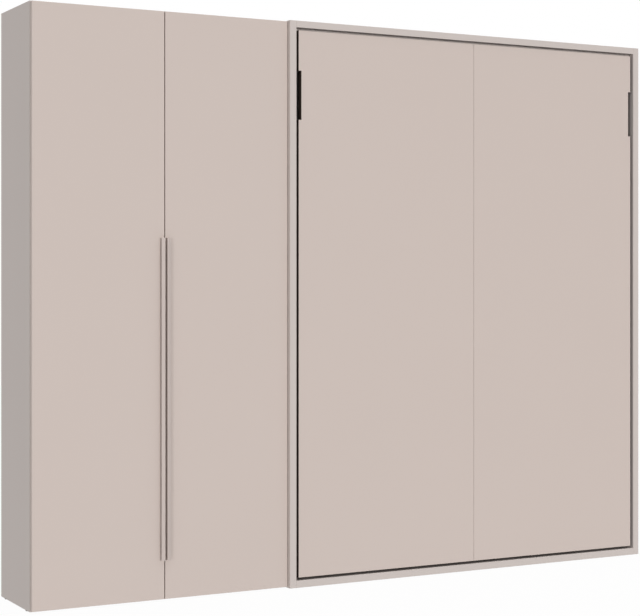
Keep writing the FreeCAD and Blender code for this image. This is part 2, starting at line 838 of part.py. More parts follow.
def strut_bar(side, start, end, radius):
    """A round bar on the strut line, between two distances from the anchor pin."""
    a = along_strut(side, start)
    return Part.makeCylinder(radius, end - start, a, along_strut(side, end) - a)


def strut_eye(side, centre):
    """The flat ring at the end of a strut."""
    y, z = centre
    half = strut_eye_thickness / 2
    return rod_x(bed_side(side, strut_offset - half), bed_side(side, strut_offset + half), y, z,
                 strut_eye_radius)


def gas_struts():
    """A pressure tube hinged on the cabinet and a rod hinged on the bed, one pair a side."""
    tube_end = strut_short - strut_eye_radius - strut_tube_end_gap
    bore_radius = strut_tube_radius - strut_tube_wall
    bore_start = strut_tube_start + strut_end_thickness
    bore_end = tube_end - strut_gland
    rod_end = strut_long - (strut_short - bore_start - strut_piston_thickness)
    hole = strut_pin_radius + strut_pin_clearance
    for side, word in ((-1, "left"), (1, "right")):
        eye_x0 = bed_side(side, strut_offset - strut_eye_thickness)
        eye_x1 = bed_side(side, strut_offset + strut_eye_thickness)
        tube = strut_bar(side, strut_tube_start, tube_end, strut_tube_radius)
        neck = strut_bar(side, 0, strut_tube_start + strut_end_thickness / 2,
                         strut_neck_radius)
        bore = strut_bar(side, bore_start, bore_end, bore_radius)
        gland = strut_bar(side, bore_end - overrun, tube_end + overrun,
                          strut_rod_radius + strut_rod_clearance)
        body = fuse([tube, neck, strut_eye(side, strut_anchor)]).cut(fuse([bore, gland]))
        body = body.cut(rod_x(eye_x0, eye_x1, strut_anchor[0], strut_anchor[1], hole))
        save(word + "_strut_tube", [body])

        rod = strut_bar(side, rod_end, strut_long, strut_rod_radius)
        piston = strut_bar(side, rod_end, rod_end + strut_piston_thickness,
                           bore_radius - strut_piston_gap)
        body = fuse([rod, piston, strut_eye(side, strut_crank)])
        body = body.cut(rod_x(eye_x0, eye_x1, strut_crank[0], strut_crank[1], hole))
        save(word + "_strut_rod", [body])


def bed_front():
    """Two boards side by side, each with a finger notch in its outer edge."""
    notch_top_z = panel_top_z - notch_below_panel_top
    for name, side in (("left_front_panel", -1), ("right_front_panel", 1)):
        inner = bed_side(side, panel_joint / 2)
        outer = bed_side(side, panel_half)
        board = block(inner, outer, panel_front_y, panel_back_y, panel_bottom_z, panel_top_z)
        notch = block(outer - side * notch_depth, outer + side * overrun,
                      panel_front_y - overrun, panel_back_y + overrun,
                      notch_top_z - notch_height, notch_top_z)
        board = board.cut(notch)
        save(name, [round_edges(board, edge_round, lies_at_y(panel_front_y))])


def bed_frame():
    """A welded frame of rectangular tube behind the bed front."""
    wall = frame_tube_wall
    caps = []
    side_tubes = []
    for side in (-1, 1):
        outer = bed_side(side, frame_half_width)
        inner = bed_side(side, frame_inner_half)
        side_tubes.append(tube_along_z(inner, outer, frame_front_y, frame_back_y,
                                       frame_bottom_z, frame_top_z, wall))
        for z, out in ((frame_bottom_z, -1), (frame_top_z, 1)):
            caps.append(block(inner, outer, frame_front_y, frame_back_y, z,
                              z + out * end_cap_thickness))
    save("bed_frame_side_tubes", side_tubes)
    save("bed_frame_end_caps", caps)
    x0 = bed_side(-1, frame_inner_half)
    x1 = bed_side(1, frame_inner_half)
    head_z = frame_bottom_z + frame_tube_depth
    foot_z = frame_top_z - frame_tube_depth
    save("bed_frame_head_and_foot_tubes", [
        tube_along_x(x0, x1, frame_front_y, frame_back_y, frame_bottom_z, head_z, wall),
        tube_along_x(x0, x1, frame_front_y, frame_back_y, foot_z, frame_top_z, wall),
    ])
    half = frame_tube_width / 2
    save("bed_frame_centre_tube", [tube_along_z(bed_x - half, bed_x + half, frame_front_y,
                                                frame_back_y, head_z, foot_z, wall)])
    cross = []
    for share in cross_tube_shares:
        z = share_of(head_z, foot_z, share)
        for side in (-1, 1):
            cross.append(tube_along_x(bed_side(side, half), bed_side(side, frame_inner_half),
                                      frame_front_y, frame_front_y + cross_tube_depth, z,
                                      z + frame_tube_width, wall))
    save("bed_frame_cross_tubes", cross)


def panel_angles():
    """Small steel angles that hold the bed front to the side tubes."""
    angles = []
    for side in (-1, 1):
        wall = bed_side(side, frame_inner_half)
        inner = wall - side * angle_leg
        for share in angle_shares:
            z = share_of(frame_bottom_z, frame_top_z, share)
            outside = [Vector(wall, frame_front_y + angle_leg, z),
                       Vector(wall, frame_front_y, z), Vector(inner, frame_front_y, z)]
            angles.append(folded_sheet(outside, angle_thickness, angle_bend,
                                       Vector(0, 0, angle_width)))
    save("front_panel_angles", angles)


def slat_heights():
    """Lower edges of the slats, evenly spaced along the frame."""
    low = mattress_bottom_z + slat_zone_inset
    high = mattress_top_z - slat_zone_inset - slat_width
    return [share_of(low, high, k / (slat_count - 1)) for k in range(slat_count)]


def slat(x0, x1, z):
    """One crowned slat, its crown towards the mattress."""
    middle = (x0 + x1) / 2
    near = slat_back_y - slat_thickness

    def bow(y, start, end):
        return Part.Arc(Vector(start, y, z), Vector(middle, y + slat_crown, z),
                        Vector(end, y, z)).toShape()

    edges = [bow(near, x0, x1),
             Part.makeLine(Vector(x1, near, z), Vector(x1, slat_back_y, z)),
             bow(slat_back_y, x1, x0),
             Part.makeLine(Vector(x0, slat_back_y, z), Vector(x0, near, z))]
    return Part.Face(Part.Wire(edges)).extrude(Vector(0, 0, slat_width))


def slat_holder(wall_x, into, z):
    """A plastic pocket on a tube that takes the end of a slat."""
    near = slat_back_y - slat_thickness
    shell = block(wall_x, wall_x + into * holder_length, near - holder_wall,
                  slat_back_y + holder_wall, z - holder_wall, z + slat_width + holder_wall)
    pocket = block(wall_x + into * holder_wall, wall_x + into * (holder_length + overrun),
                   near - holder_clearance, slat_back_y + holder_clearance,
                   z - holder_clearance, z + slat_width + holder_clearance)
    return shell.cut(pocket)


def slats():
    """Two rows of slats in their holders."""
    holders = []
    centre_half = frame_tube_width / 2
    rows = []
    for side in (-1, 1):
        centre_x = bed_side(side, centre_half)
        wall_x = bed_side(side, frame_inner_half)
        for z in slat_heights():
            a = centre_x + side * slat_end_gap
            b = wall_x - side * slat_end_gap
            rows.append(slat(min(a, b), max(a, b), z))
            holders.append(slat_holder(centre_x, side, z))
            holders.append(slat_holder(wall_x, -side, z))
    save("slats", rows)
    save("slat_holders", holders)


def mattress():
    """A plain foam mattress with rounded edges."""
    pad = block(bed_side(-1, mattress_half), bed_side(1, mattress_half), mattress_front_y,
                mattress_back_y, mattress_bottom_z, mattress_top_z)
    save("mattress", [pad.makeFillet(mattress_round, pad.Edges)])


def mattress_end_board():
    """The board that the standing mattress rests on, and its brackets."""
    half = mattress_half - end_board_side_inset
    top_z = mattress_bottom_z - seat_gap
    low_z = top_z - end_board_thickness
    save("mattress_end_board", [block(bed_x - half, bed_x + half, mattress_front_y,
                                      mattress_front_y + end_board_depth, low_z, top_z)])
    brackets = []
    for share in end_bracket_shares:
        edge_x = bed_x + share * half - end_bracket_width / 2
        outside = [Vector(edge_x, frame_back_y, frame_bottom_z),
                   Vector(edge_x, frame_back_y, low_z),
                   Vector(edge_x, frame_back_y + end_bracket_reach, low_z)]
        brackets.append(folded_sheet(outside, end_bracket_thickness, end_bracket_bend,
                                     Vector(end_bracket_width, 0, 0)))
    save("mattress_end_brackets", brackets)


def mattress_straps():
    """Flat straps over the mattress, fastened to the side tubes."""
    half = mattress_half + seat_gap
    back = mattress_back_y + seat_gap
    straps = []
    for share in strap_shares:
        z0 = share_of(mattress_bottom_z, mattress_top_z, share) - strap_width / 2
        z1 = z0 + strap_width
        outside = block(bed_x - half - strap_thickness, bed_x + half + strap_thickness,
                        frame_back_y, back + strap_thickness, z0, z1)
        inside = block(bed_x - half, bed_x + half, frame_back_y - overrun, back,
                       z0 - overrun, z1 + overrun)
        tabs = []
        for side in (-1, 1):
            edge = bed_side(side, half)
            tabs.append(block(edge, edge + side * strap_tab, frame_back_y,
                              frame_back_y + strap_thickness, z0, z1))
        straps.append(fuse([outside.cut(inside)] + tabs))
    save("mattress_straps", straps)


def foot_hoop():
    """A bent bar on the foot tube that keeps the mattress from sliding off."""
    z = mattress_top_z + seat_gap + hoop_radius
    far_y = frame_back_y + hoop_reach
    x0 = bed_x - hoop_half_width
    x1 = bed_x + hoop_half_width
    turn = hoop_bend * (1 - math.sqrt(0.5))
    path = Part.Wire([
        Part.makeLine(Vector(x0, frame_back_y, z), Vector(x0, far_y - hoop_bend, z)),
        Part.Arc(Vector(x0, far_y - hoop_bend, z), Vector(x0 + turn, far_y - turn, z),
                 Vector(x0 + hoop_bend, far_y, z)).toShape(),
        Part.makeLine(Vector(x0 + hoop_bend, far_y, z), Vector(x1 - hoop_bend, far_y, z)),
        Part.Arc(Vector(x1 - hoop_bend, far_y, z), Vector(x1 - turn, far_y - turn, z),
                 Vector(x1, far_y - hoop_bend, z)).toShape(),
        Part.makeLine(Vector(x1, far_y - hoop_bend, z), Vector(x1, frame_back_y, z)),
    ])
    section = Part.Wire([Part.makeCircle(hoop_radius, Vector(x0, frame_back_y, z),
                                         Vector(0, 1, 0))])
    save("mattress_foot_hoop", [path.makePipeShell([section], True, False)])


def legs():
    """Flat steel legs on the foot end, each with a shoe, a bracket and a shoulder bolt."""
    brackets = []
    bolts = []
    y = pivot_y
    for word, side in (("left", -1), ("right", 1)):
        inner = bed_side(side, leg_inner)
        outer = bed_side(side, leg_inner + leg_thickness)
        foot_z = leg_pivot_z - leg_length
        bar_end_z = foot_z + leg_shoe_bottom
        half = leg_width / 2
        bar = fuse([rod_x(inner, outer, y, leg_pivot_z, half),
                    block(inner, outer, y - half, y + half, bar_end_z, leg_pivot_z)])
        bar = bar.cut(rod_x(inner - side * overrun, outer + side * overrun, y, leg_pivot_z,
                            leg_bolt_radius + leg_hole_clearance))
        save(word + "_leg", [bar])

        shoe = block(inner - side * leg_shoe_wall, outer + side * leg_shoe_wall,
                     y - half - leg_shoe_wall, y + half + leg_shoe_wall, foot_z,
                     foot_z + leg_shoe_height)
        pocket = block(inner, outer, y - half, y + half, bar_end_z,
                       foot_z + leg_shoe_height + overrun)
        save(word + "_leg_shoe", [shoe.cut(pocket)])

        wall = bed_side(side, frame_half_width)
        plate_x = wall + side * leg_bracket_thickness
        spacer_end = bed_side(side, leg_inner - leg_side_gap)
        plate = block(wall, plate_x, frame_front_y, y + leg_spacer_radius,
                      leg_pivot_z - leg_bracket_half_height, leg_pivot_z + leg_spacer_radius)
        spacer = rod_x(wall, spacer_end, y, leg_pivot_z, leg_spacer_radius)
        bore = rod_x(wall - side * overrun, spacer_end + side * overrun, y, leg_pivot_z,
                     leg_bolt_radius + bush_clearance)
        brackets.append(fuse([plate, spacer]).cut(bore))

        head_x = bed_side(side, leg_inner + leg_thickness + leg_side_gap)
        head_end = head_x + side * leg_bolt_head
        bolts.append(fuse([rod_x(wall, head_end, y, leg_pivot_z, leg_bolt_radius),
                           rod_x(head_x, head_end, y, leg_pivot_z, leg_bolt_head_radius)]))
    save("leg_brackets", brackets)
    save("leg_pivot_bolts", bolts)


os.makedirs("parts", exist_ok=True)
bed_cabinet_sides()
bed_cabinet_ends()
bed_cabinet_back()
wall_rails()
glides()
wardrobe_carcass()
wardrobe_shelves()
hanging_rail()
wardrobe_doors()
hinge_cups()
hinge_arms()
save("closing_buffers", stop_rail() + door_buffers())
door_handles()
joining_bolts()
pivot_plates()
bed_arms()
gas_struts()
bed_front()
bed_frame()
panel_angles()
slats()
mattress()
mattress_end_board()
mattress_straps()
foot_hoop()
legs()
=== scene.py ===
import math

import bmesh
import bpy
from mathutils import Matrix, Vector


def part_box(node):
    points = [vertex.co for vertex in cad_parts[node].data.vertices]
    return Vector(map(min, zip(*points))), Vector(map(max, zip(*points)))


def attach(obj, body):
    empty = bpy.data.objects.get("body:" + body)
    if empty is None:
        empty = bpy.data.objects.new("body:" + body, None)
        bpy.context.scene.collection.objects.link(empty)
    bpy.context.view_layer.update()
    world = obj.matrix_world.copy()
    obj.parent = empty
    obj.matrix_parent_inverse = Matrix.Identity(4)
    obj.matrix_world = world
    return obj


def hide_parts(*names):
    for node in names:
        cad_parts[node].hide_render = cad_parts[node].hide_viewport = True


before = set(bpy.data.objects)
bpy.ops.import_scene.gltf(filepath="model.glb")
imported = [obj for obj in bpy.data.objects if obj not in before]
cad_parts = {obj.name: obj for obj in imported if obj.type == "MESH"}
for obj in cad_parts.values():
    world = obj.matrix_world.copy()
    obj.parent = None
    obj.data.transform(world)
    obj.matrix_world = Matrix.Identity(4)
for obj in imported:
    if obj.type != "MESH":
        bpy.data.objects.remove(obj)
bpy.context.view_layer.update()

scene = bpy.context.scene
scene.view_settings.view_transform = "Standard"


# Camera, studio light and floor
# A long lens at eye height, a little to the left of the furniture and level, so uprights stay
# upright. A key lamp squarely in front evens the fronts, a weaker one from the left reaches into
# the gaps, and the studio and the floor light the rest.
MM = 0.001
camera_place = (-3.2436, -5.8793, 1.2077)
camera_turn = math.radians(-28.109)
camera_lens = 93.046
camera_sensor = 36.0
camera_rise = -0.04874

camera_data = bpy.data.cameras.new("camera")
camera_data.sensor_fit = "HORIZONTAL"
camera_data.sensor_width = camera_sensor
camera_data.lens = camera_lens
camera_data.shift_y = camera_rise
camera = bpy.data.objects.new("camera", camera_data)
camera.location = camera_place
camera.rotation_euler = (math.radians(90.0), 0.0, camera_turn)
scene.collection.objects.link(camera)
scene.camera = camera


class Signal:
    """An output socket of a shader graph, on which arithmetic adds Math nodes."""

    def __init__(self, graph, socket):
        self.graph = graph
        self.socket = socket

    def math(self, operation, first, second):
        return self.graph.node("ShaderNodeMath", {"operation": operation}, {0: first, 1: second})

    def __add__(self, other):
        return self.math("ADD", self, other)

    def __sub__(self, other):
        return self.math("SUBTRACT", self, other)

    def __rsub__(self, other):
        return self.math("SUBTRACT", other, self)

    def __mul__(self, other):
        return self.math("MULTIPLY", self, other)

    def __gt__(self, other):
        return self.math("GREATER_THAN", self, other)

    def __abs__(self):
        return self.math("ABSOLUTE", self, 0.0)

    def wave(self):
        return self.math("SINE", self, 0.0)

    __radd__ = __add__
    __rmul__ = __mul__


class Graph:
    """The shader nodes of one material or of the world."""

    def __init__(self, owner):
        owner.use_nodes = True
        self.tree = owner.node_tree
        self.tree.nodes.clear()

    def node(self, kind, settings=None, sockets=None, out=0):
        """Adds a node, sets its settings and then its sockets, and gives one output."""
        made = self.tree.nodes.new(kind)
        for name, value in (settings or {}).items():
            setattr(made, name, value)
        for key, value in (sockets or {}).items():
            if isinstance(value, Signal):
                self.tree.links.new(value.socket, made.inputs[key])
            else:
                made.inputs[key].default_value = value
        return Signal(self, made.outputs[out]) if made.outputs else None

    def blend(self, share, first, second):
        """A colour between two others."""
        return self.node("ShaderNodeMix", {"data_type": "RGBA"}, {0: share, 6: first, 7: second},
                         out=2)

    def along(self, vector, axis):
        """The X, Y or Z of a vector."""
        return self.node("ShaderNodeSeparateXYZ", None, {0: vector}, out=axis)

    def facing(self, axis):
        """How far the surface faces along an axis, from -1 to 1."""
        return self.along(self.node("ShaderNodeTexCoord", out="Normal"), axis)

    def seen_by(self, *rays):
        """1 for light paths of these kinds, and otherwise 0."""
        kinds = [self.node("ShaderNodeLightPath", out=ray) for ray in rays]
        return sum(kinds[1:], kinds[0]) > 0.5

    def place(self, stretch=(1.0, 1.0, 1.0)):
        """The place on the piece in metres, stretched along the axes."""
        here = self.node("ShaderNodeTexCoord", out="Object")
        return self.node("ShaderNodeVectorMath", {"operation": "MULTIPLY"},
                         {0: here, 1: stretch})

    def noise(self, scale, detail=2.0, stretch=(1.0, 1.0, 1.0)):
        """Noise from 0 to 1 about a half, its scale in cycles per metre."""
        return self.node("ShaderNodeTexNoise", None,
                         {"Vector": self.place(stretch), "Scale": scale, "Detail": detail})

    def bump(self, height, depth, strength=1.0):
        """A surface normal from a height, its depth in metres."""
        return self.node("ShaderNodeBump", None,
                         {"Height": height, "Distance": depth, "Strength": strength})

    def close(self, **sockets):
        """Ends a material in a Principled shader with these sockets."""
        named = {name.replace("_", " "): value for name, value in sockets.items()}
        shader = self.node("ShaderNodeBsdfPrincipled", None, named)
        self.node("ShaderNodeOutputMaterial", None, {"Surface": shader})


def new_finish(name):
    """A new material and its shader graph."""
    made = bpy.data.materials.new(name)
    return made, Graph(made)


def colour_of(red, green, blue):
    """A colour read as 0 to 255 on a screen, as light values with full cover."""
    parts = []
    for level in (red / 255, green / 255, blue / 255):
        parts.append(level / 12.92 if level <= 0.04045 else ((level + 0.055) / 1.055) ** 2.4)
    return (*parts, 1.0)


def sun(name, strength, towards, softness):
    """A distant lamp that shines along a direction."""
    lamp = bpy.data.lights.new(name, "SUN")
    lamp.energy = strength
    lamp.angle = math.radians(softness)
    holder = bpy.data.objects.new(name, lamp)
    holder.rotation_euler = Vector(towards).to_track_quat("-Z", "Y").to_euler()
    scene.collection.objects.link(holder)


sun("key_lamp", strength=1.02, towards=(-0.08, 1.0, -0.1), softness=10.0)
sun("side_lamp", strength=0.5, towards=(0.9, 0.75, -0.1), softness=12.0)
sun("top_lamp", strength=0.9, towards=(0.05, 0.1, -1.0), softness=40.0)
sun("back_lamp", strength=0.8, towards=(-0.9, -1.0, -0.3), softness=40.0)

world = bpy.data.worlds.new("studio")
scene.world = world
studio_level = (0.455, 0.455, 0.462, 1.0)
white = (1.0, 1.0, 1.0, 1.0)
graph = Graph(world)
seen = graph.seen_by("Is Camera Ray", "Is Glossy Ray", "Is Transmission Ray")
backdrop = graph.node("ShaderNodeBackground", None, {"Color": white})
ambience = graph.node("ShaderNodeBackground", None, {"Color": studio_level})
sky = graph.node("ShaderNodeMixShader", None, {0: seen, 1: ambience, 2: backdrop})
graph.node("ShaderNodeOutputWorld", None, {"Surface": sky})

floor_half = 12.0
floor_drop = 0.5 * MM
floor_colour = colour_of(236, 235, 234)
floor_glow_share = 0.96
floor_level = (0.555, 0.555, 0.562, 1.0)
mesh = bpy.data.meshes.new("floor")
corners = [(-floor_half, -floor_half), (floor_half, -floor_half), (floor_half, floor_half),
           (-floor_half, floor_half)]
mesh.from_pydata([(x, y, -floor_drop) for x, y in corners], [], [(0, 1, 2, 3)])
floor = bpy.data.objects.new("floor", mesh)
scene.collection.objects.link(floor)
floor_finish, graph = new_finish("pale_floor")
seen = graph.seen_by("Is Camera Ray", "Is Glossy Ray")
matt = graph.node("ShaderNodeBsdfDiffuse", None, {"Color": floor_colour})
glow = graph.node("ShaderNodeEmission", None, {"Color": white})
seen_floor = graph.node("ShaderNodeMixShader", None, {0: floor_glow_share, 1: matt, 2: glow})
lit = graph.node("ShaderNodeEmission", None, {"Color": floor_level})
mixed = graph.node("ShaderNodeMixShader", None, {0: seen, 1: lit, 2: seen_floor})
graph.node("ShaderNodeOutputMaterial", None, {"Surface": mixed})
floor.data.materials.append(floor_finish)


# Cabinet boards and fronts
# Particle board faced with super-matt laminate in a warm greige, its edges banded to match. The
# bed's front has painted shade on its top, bottom and outer edges: a dark colour that stands in
# for the shadow inside the gaps.
board_colour = colour_of(204, 193, 187)
# Painted shade: the dark colour given to the bed front's edges, for the shadow inside the gaps.
gap_shade_colour = colour_of(60, 47, 41)
drift_scale = 2.2
print_scale = 1400.0
drift_share = 0.5
print_share = 0.3
laminate_roughness = 0.52
print_depth = 0.03 * MM
edge_on = 0.5
joint_side = 0.05
bed_low, bed_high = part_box("mattress")
bed_x = (bed_low.x + bed_high.x) / 2


def laminate(name, darker, lighter, shade_from_middle=None):
    """Matt laminate: a faint drift of tone and a fine print that breaks the gloss. Edges that
    lie further than a distance from the middle of the bed get painted shade, a dark colour
    that stands in for the shadow inside the gaps."""
    made, graph = new_finish(name)
    drift = graph.noise(drift_scale, 3.0)
    grain = graph.noise(print_scale, 2.0)
    tone = (drift - 0.5) * drift_share + (grain - 0.5) * print_share + 0.5
    face = graph.blend(tone, darker, lighter)
    # Painted shade: the outer edges away from the middle joint, and the top and bottom edges, are
    # coloured dark where the gaps lie in shadow.
    if shade_from_middle:
        beside = abs(graph.along(graph.place(), "X") - bed_x) > shade_from_middle
        outside = beside * ((1 - abs(graph.facing("Y"))) > edge_on)
        upright = abs(graph.facing("Z")) > edge_on
        face = graph.blend(outside + upright > 0.5, face, gap_shade_colour)
    graph.close(Base_Color=face, Roughness=laminate_roughness + 0.1 * grain,
                Normal=graph.bump(grain, print_depth, 0.5), Specular_IOR_Level=0.35)
    return made


def coat(finish, *names):
    """Gives CAD nodes their finish."""
    for name in names:
        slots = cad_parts[name].material_slots
        for slot in slots:
            slot.material = finish
        if not slots:
            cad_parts[name].data.materials.append(finish)


board = laminate("matt_laminate_board", colour_of(200, 190, 184), colour_of(204, 194, 188))
coat(board, "bed_cabinet_left_side", "bed_cabinet_right_side", "bed_cabinet_top",
     "bed_cabinet_bottom", "top_stop_rail", "wall_rails", "wardrobe_left_side",
     "wardrobe_right_side", "wardrobe_top", "wardrobe_bottom", "wardrobe_divider",
     "wardrobe_shelves", "mattress_end_board")
door = laminate("matt_laminate_door", colour_of(202, 188, 180), colour_of(206, 192, 184))
coat(door, "left_door_panel", "right_door_panel")
# The bed's front, with painted shade on its edges beyond the middle joint.
front = laminate("matt_laminate_front", colour_of(202, 188, 180), colour_of(206, 192, 184),
                 joint_side)
coat(front, "left_front_panel", "right_front_panel")


# Back panels and their joiner
# Thin hardboard, lacquered in the cabinet's colour inside and left bare and brown outside,
# where the pressed fibres show. A plastic H profile joins the two panels behind the bed.
hardboard_colour = colour_of(142, 112, 84)
hardboard_dark = colour_of(112, 84, 60)
lacquer_roughness = 0.55
bare_roughness = 0.77
fibre_depth = 0.2 * MM
back_finish, graph = new_finish("lacquered_hardboard")
rearward = graph.facing("Y") > 0.5
fibres = graph.noise(220.0, 6.0, (1.0, 1.0, 0.55))
clouds = graph.noise(7.0, 3.0)
pressed = graph.blend(fibres * 0.7 + clouds * 0.3, hardboard_dark, hardboard_colour)
graph.close(Base_Color=graph.blend(rearward, board_colour, pressed),
            Roughness=rearward * (bare_roughness - lacquer_roughness) + lacquer_roughness,
            Normal=graph.bump(fibres * rearward, fibre_depth, 0.6))
coat(back_finish, "bed_cabinet_back_panels", "wardrobe_back")


def even_finish(name, darker, lighter, scale, detail, roughness, spread, depth, strength,
                stretch=(1.0, 1.0, 1.0), **more):
    """A finish with one fine texture that varies its tone, its roughness and its relief."""
    made, graph = new_finish(name)
    grain = graph.noise(scale, detail, stretch)
    graph.close(Base_Color=graph.blend(grain, colour_of(*darker), colour_of(*lighter)),
                Roughness=roughness + spread * grain, Normal=graph.bump(grain, depth, strength),
                **more)
    return made


joiner_finish = even_finish(
    "joiner_plastic", (198, 186, 178), (208, 197, 190), scale=60.0, detail=2.0,
    stretch=(8.0, 8.0, 0.1), roughness=0.4, spread=0.1, depth=0.1 * MM, strength=0.3)
coat(joiner_finish, "back_panel_joiner")


# Door handles
# Folded sheet profiles on both meeting edges, powder coated to match the doors, with the
# slight orange peel of the powder.
def powder_paint(name, darker, lighter, scale, detail, roughness, spread, depth, strength, cloud):
    """Powder coat: orange peel over a slow drift of tone, its clouds of one scale and detail."""
    made, graph = new_finish(name)
    peel = graph.noise(scale, detail)
    tone = graph.noise(*cloud)
    graph.close(Base_Color=graph.blend(tone, colour_of(*darker), colour_of(*lighter)),
                Roughness=roughness + spread * peel, Normal=graph.bump(peel, depth, strength))
    return made


handle_finish = powder_paint(
    "handle_paint", (193, 180, 173), (198, 185, 178), scale=700.0, detail=1.0, cloud=(5.0, 2.0),
    roughness=0.4, spread=0.08, depth=0.05 * MM, strength=0.5)
coat(handle_finish, "left_door_handle", "right_door_handle")


# Steel frame of the bed, its arms, brackets and legs
# Rectangular tube and flat steel, cut and welded, then powder coated in a dark warm grey. The
# arms and the leg brackets are bolted on, and the legs hang from the brackets.
paint_finish = powder_paint(
    "frame_paint", (70, 68, 67), (80, 78, 77), scale=650.0, detail=1.5, cloud=(4.0, 3.0),
    roughness=0.42, spread=0.16, depth=0.12 * MM, strength=0.6)
coat(paint_finish, "bed_frame_side_tubes", "bed_frame_head_and_foot_tubes",
     "bed_frame_centre_tube", "bed_frame_cross_tubes", "bed_arms", "leg_brackets", "left_leg",
     "right_leg", "mattress_end_brackets", "mattress_foot_hoop")


# Zinc-plated fittings
# Stamped steel with a bright zinc coat: a cool grey with a faint cloudy bloom and the fine
# scratches of handling.
scratch_depth = 0.03 * MM
zinc_finish, graph = new_finish("zinc_plate")
bloom = graph.noise(45.0, 4.0)
scratch = graph.noise(900.0, 2.0, (1.0, 1.0, 0.06))
graph.close(Base_Color=graph.blend(bloom, colour_of(176, 179, 183), colour_of(205, 206, 205)),
            Metallic=1.0, Roughness=0.26 + 0.14 * bloom + 0.08 * scratch,
            Normal=graph.bump(scratch, scratch_depth, 0.5))
coat(zinc_finish, "bed_pivot_plates", "front_panel_angles", "hinge_arms", "left_hinge_cups",
     "right_hinge_cups", "bed_pivot_pins", "strut_anchor_pins", "strut_lower_pins",
     "leg_pivot_bolts", "cabinet_joining_bolts", "shelf_pins", "hanging_rail_brackets")

bronze_finish = even_finish(
    "sintered_bronze", (150, 112, 62), (186, 146, 88), scale=1800.0, detail=2.0,
    roughness=0.34, spread=0.2, depth=0.05 * MM, strength=0.6, Metallic=1.0)
coat(bronze_finish, "bed_pivot_bushes")

rail_finish = even_finish(
    "satin_rail", (190, 191, 193), (214, 214, 214), scale=1200.0, detail=2.0,
    stretch=(1.0, 0.02, 1.0), roughness=0.22, spread=0.14, depth=0.02 * MM, strength=0.5,
    Metallic=1.0)
coat(rail_finish, "hanging_rail")


# Gas struts
# A black lacquered pressure tube with its eye screwed on, and a hard chromed rod that shows
# only the faint rings of its grinding.
tube_finish = even_finish(
    "strut_lacquer", (22, 22, 23), (30, 30, 31), scale=300.0, detail=2.0,
    roughness=0.28, spread=0.1, depth=0.04 * MM, strength=0.4, Coat_Weight=0.3)
coat(tube_finish, "left_strut_tube", "right_strut_tube")

chrome_finish = even_finish(
    "hard_chrome", (210, 212, 215), (226, 227, 228), scale=2600.0, detail=1.0,
    stretch=(0.1, 0.1, 1.0), roughness=0.1, spread=0.08, depth=0.01 * MM, strength=0.3,
    Metallic=1.0)
coat(chrome_finish, "left_strut_rod", "right_strut_rod")


# Plastic and rubber parts
# Slat pockets, tube caps and leg shoes are moulded in black nylon with a fine spark grain;
# glides and buffers are a softer grey rubber.
nylon_finish = even_finish(
    "black_nylon", (30, 30, 31), (42, 42, 43), scale=1600.0, detail=2.0,
    roughness=0.45, spread=0.2, depth=0.06 * MM, strength=0.6)
coat(nylon_finish, "slat_holders", "bed_frame_end_caps", "left_leg_shoe", "right_leg_shoe")

rubber_finish = even_finish(
    "grey_rubber", (92, 90, 88), (112, 110, 107), scale=500.0, detail=3.0,
    roughness=0.7, spread=0.15, depth=0.08 * MM, strength=0.5)
coat(rubber_finish, "floor_glides", "closing_buffers")


# Slats
# Glued from bent layers of birch, sanded and clear lacquered. The grain runs along the slat,
# with fine dark pores and a few pale flecks. Each end sits in a plastic pocket.
pore_level = 0.62
fleck_level = 0.66
grain_depth = 0.2 * MM
wood_finish, graph = new_finish("birch_slats")
growth = graph.noise(9.0, 5.0, (0.35, 6.0, 6.0))
pores = graph.noise(420.0, 3.0, (0.06, 1.0, 1.0))
fleck = graph.noise(55.0, 2.0, (0.25, 1.0, 2.0))
wood = graph.blend(growth, colour_of(196, 160, 118), colour_of(226, 196, 156))
wood = graph.blend((pores > pore_level) * 0.25, wood, colour_of(158, 118, 80))
wood = graph.blend((fleck > fleck_level) * 0.2, wood, colour_of(236, 212, 178))
graph.close(Base_Color=wood, Roughness=0.36 + 0.2 * pores, Coat_Weight=0.15,
            Normal=graph.bump(growth * 0.5 + pores * 0.5, grain_depth, 0.4))
coat(wood_finish, "slats")


# Mattress
# Foam core in a knitted cover. Both faces are sewn to a quilted border with corded seams; the
# sleeping face is quilted in diamonds, the face on the slats is plain, and the core crowns.
def piece_of(name, bm, body, finish, smooth=True):
    """Turns a built mesh into a piece that rides on a body."""
    bmesh.ops.recalc_face_normals(bm, faces=bm.faces)
    for face in bm.faces:
        face.smooth = smooth
    mesh = bpy.data.meshes.new(name)
    bm.to_mesh(mesh)
    bm.free()
    made = bpy.data.objects.new(name, mesh)
    scene.collection.objects.link(made)
    made.data.materials.append(finish)
    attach(made, body)
    return made


bed_z = (bed_low.z + bed_high.z) / 2
half_width = (bed_high.x - bed_low.x) / 2
half_length = (bed_high.z - bed_low.z) / 2
columns = 150
rows = 200
corner = 55 * MM
seam_inset = 5 * MM
seam_drop = 19 * MM
slat_face_roll = 0.8
edge_roll = 60 * MM
crown = 3.5 * MM
puff = 7.5 * MM
puff_roundness = 0.42
frame_roundness = 0.5
quilt_pitch = 200 * MM
quilt_frame = 50 * MM
border_rings = 18
border_puff = 4 * MM
border_bands = 3
border_roundness = 0.55
strap_width = 40 * MM
strap_shares = (0.3, 0.72)
strap_press = 6 * MM
press_reach = 70 * MM
press_falloff = 2.2
strap_heights = [bed_low.z + share * (bed_high.z - bed_low.z) for share in strap_shares]


